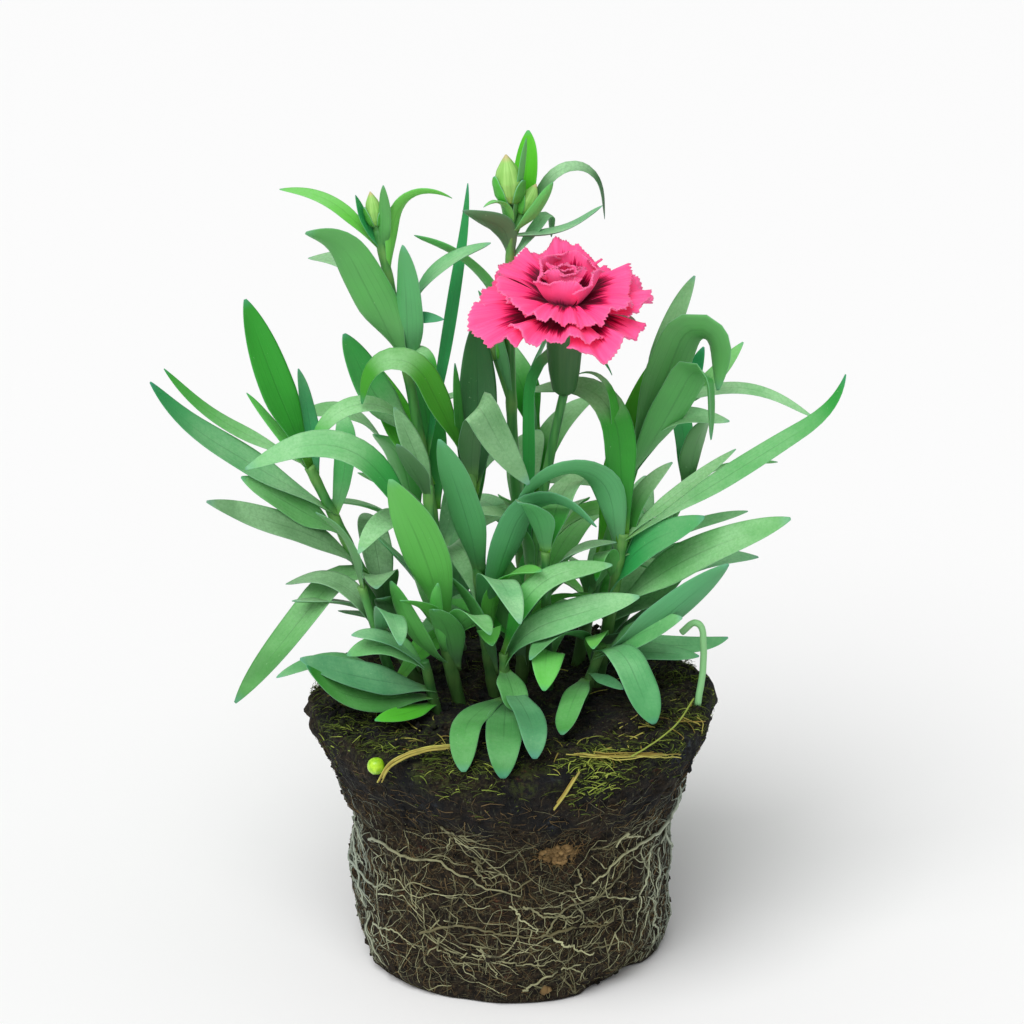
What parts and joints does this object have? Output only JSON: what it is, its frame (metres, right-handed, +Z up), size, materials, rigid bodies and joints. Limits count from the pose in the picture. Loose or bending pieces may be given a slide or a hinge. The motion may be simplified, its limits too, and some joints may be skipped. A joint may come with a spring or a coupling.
{
  "type": "dianthus plant with root ball",
  "caption": "A young dianthus lifted out of its pot, with a bare root ball, leafy stems, closed buds and an open double bloom, for beds, balcony boxes and planters",
  "frame": {"origin": "the middle of the root ball's flat base", "axes": "+Z is up along the plant, -Y is the front that faces the picture's camera, +X is the plant's right as the camera sees it"},
  "size_m": [0.166, 0.1194, 0.2018],
  "materials": {
    "peat": "crumbly matt",
    "root": "matt",
    "leaf": "waxy satin",
    "petal": "velvety matt",
    "prill": "resin coat",
    "straw": "matt",
    "stalk": "satin"
  },
  "bodies": {
    "root": {"root_ball": "peat", "root_net": "root", "leafy_stem_front_left": "leaf", "leafy_stem_tall_left": "leaf", "leafy_stem_flowering": "leaf", "leafy_stem_tall_middle": "leaf", "leafy_stem_right": "leaf", "leafy_stem_back_right": "leaf", "leafy_stem_middle": "leaf", "leafy_stem_left": "leaf", "leafy_stem_low_left": "leaf", "leafy_stem_low_front": "leaf", "leafy_stem_low_right": "leaf", "leafy_stem_back_left": "leaf", "leafy_stem_back_middle": "leaf", "leafy_stem_back_end": "leaf", "leafy_stem_side_left": "leaf", "leafy_stem_inner_right": "leaf", "bloom": "petal", "fertiliser_prill": "prill", "straw_bit": "straw", "bent_stalk": "stalk"}
  },
  "joints": []
}
